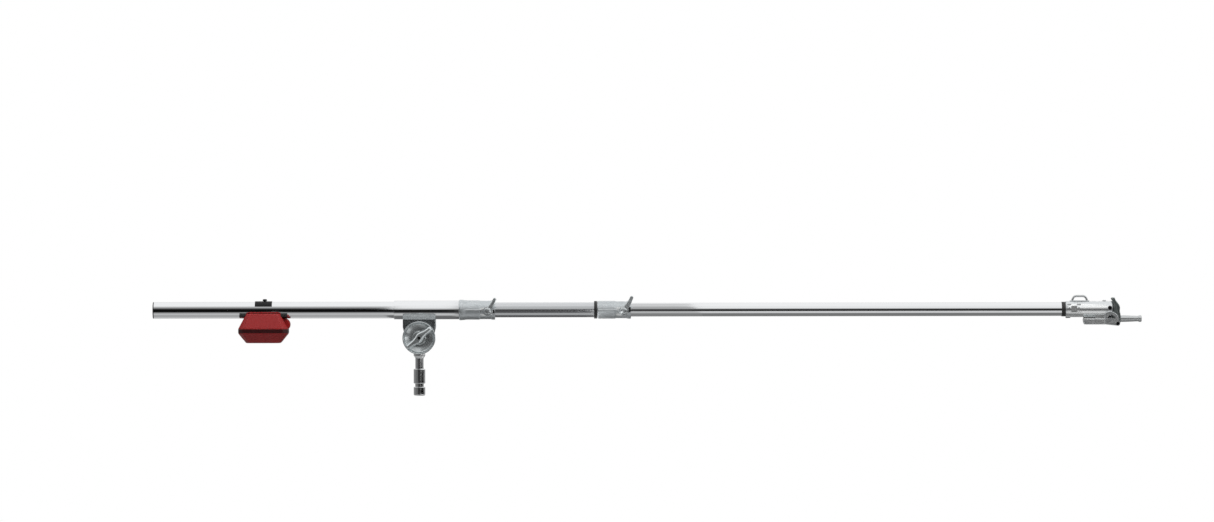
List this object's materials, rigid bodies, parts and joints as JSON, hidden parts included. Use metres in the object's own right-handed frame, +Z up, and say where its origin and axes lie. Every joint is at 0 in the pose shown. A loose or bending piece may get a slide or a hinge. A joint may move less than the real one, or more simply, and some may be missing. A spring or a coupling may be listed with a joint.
{
  "type": "telescopic boom arm",
  "caption": "Telescopic lighting boom arm: tilting tubes on a stand spigot, clamp collars with levers, sliding red counterweight and a combination head with a hinged stud.",
  "frame": {"origin": "centre of the stand spigot's flat bottom end, which goes down into the stand", "axes": "+X along the boom towards the head and its stud, +Y away from the tilt knob, +Z up along the spigot"},
  "size_m": [2.4023, 0.1001, 0.2424],
  "materials": {
    "chrome_tube": "polished chrome plate on steel tube",
    "machined_steel": "turned, satin bright",
    "dark_steel": "blackened, satin",
    "cast_aluminium": "tumbled die casting, silvery",
    "dark_casting": "dark grey die casting, satin",
    "red_enamel": "glossy red enamel on an iron casting",
    "black_painted_steel": "satin black paint on bent sheet",
    "black_rubber": "matt moulded rubber",
    "black_plastic": "moulded, satin black",
    "natural_plastic": "natural nylon",
    "friction_lining": "pressed friction lining"
  },
  "bodies": {
    "stand_mount": {"stand_spigot": "machined_steel", "pivot_block": "cast_aluminium", "spigot_pin": "dark_steel"},
    "boom": {"pivot_sleeve": "chrome_tube", "yoke": "cast_aluminium", "rear_tube": "chrome_tube", "rear_end_cap": "black_plastic", "tilt_bolt": "machined_steel", "friction_disc_front": "friction_lining", "friction_disc_rear": "friction_lining", "thrust_washer": "machined_steel", "rear_collar": "cast_aluminium", "rear_collar_bush": "black_plastic", "rear_clamp_shoe": "dark_steel"},
    "tilt_knob": {"tilt_knob": "cast_aluminium", "knob_bush": "machined_steel"},
    "rear_lever": {"rear_clamp_lever": "cast_aluminium", "rear_clamp_screw": "machined_steel"},
    "middle": {"middle_tube": "chrome_tube", "middle_guide_ring": "natural_plastic", "middle_bumper": "black_rubber", "front_collar": "cast_aluminium", "front_collar_bush": "black_plastic", "front_clamp_shoe": "dark_steel"},
    "front_lever": {"front_clamp_lever": "cast_aluminium", "front_clamp_screw": "machined_steel"},
    "front": {"front_tube": "chrome_tube", "front_guide_plug": "natural_plastic", "front_bumper": "black_rubber", "head_casting": "cast_aluminium", "head_screw_left": "machined_steel", "head_screw_right": "machined_steel", "safety_loop": "machined_steel", "top_screw": "machined_steel", "latch_screw": "dark_steel", "hinge_pin": "dark_steel"},
    "pin_arm": {"pin_arm": "dark_casting", "baby_pin": "machined_steel"},
    "receiver_screw": {"receiver_screw": "machined_steel", "receiver_tee_bar": "machined_steel"},
    "counterweight": {"weight_casting": "red_enamel", "cradle_rail_front": "black_rubber", "cradle_rail_rear": "black_rubber", "weight_hook": "black_painted_steel", "hook_screw_left": "dark_steel", "hook_screw_right": "dark_steel"},
    "weight_screw": {"weight_screw": "black_painted_steel"}
  },
  "joints": [
    {"name": "boom_tilt", "type": "hinge", "parent": "stand_mount", "child": "boom", "pos_m": [0, 0, 0.1405], "axis": [0, 1, 0], "range_deg": [-80, 80]},
    {"name": "tilt_knob_turn", "type": "hinge", "parent": "boom", "child": "tilt_knob", "pos_m": [0, 0, 0.1405], "axis": [0, -1, 0], "range_deg": [0, 270]},
    {"name": "rear_lever_turn", "type": "hinge", "parent": "boom", "child": "rear_lever", "pos_m": [0.1665, -0.03, 0.2055], "axis": [0, -1, 0], "range_deg": [0, 150]},
    {"name": "middle_slide", "type": "slide", "parent": "boom", "child": "middle", "axis": [1, 0, 0], "range_m": [-0.24, 0.3]},
    {"name": "front_lever_turn", "type": "hinge", "parent": "middle", "child": "front_lever", "pos_m": [0.4965, -0.03, 0.2055], "axis": [0, -1, 0], "range_deg": [0, 150]},
    {"name": "front_slide", "type": "slide", "parent": "middle", "child": "front", "axis": [1, 0, 0], "range_m": [-0.76, 0]},
    {"name": "pin_arm_swing", "type": "hinge", "parent": "front", "child": "pin_arm", "pos_m": [1.696, 0, 0.173], "axis": [0, 1, 0], "range_deg": [0, 100]},
    {"name": "receiver_screw_turn", "type": "hinge", "parent": "front", "child": "receiver_screw", "pos_m": [1.648, 0.03, 0.208], "axis": [0, 1, 0], "range_deg": [0, 360]},
    {"name": "weight_slide", "type": "slide", "parent": "boom", "child": "counterweight", "axis": [1, 0, 0], "range_m": [-0.195, 0.15]},
    {"name": "weight_screw_turn", "type": "hinge", "parent": "counterweight", "child": "weight_screw", "pos_m": [-0.3755, 0, 0.23], "axis": [0, 0, 1], "range_deg": [0, 360]}
  ]
}
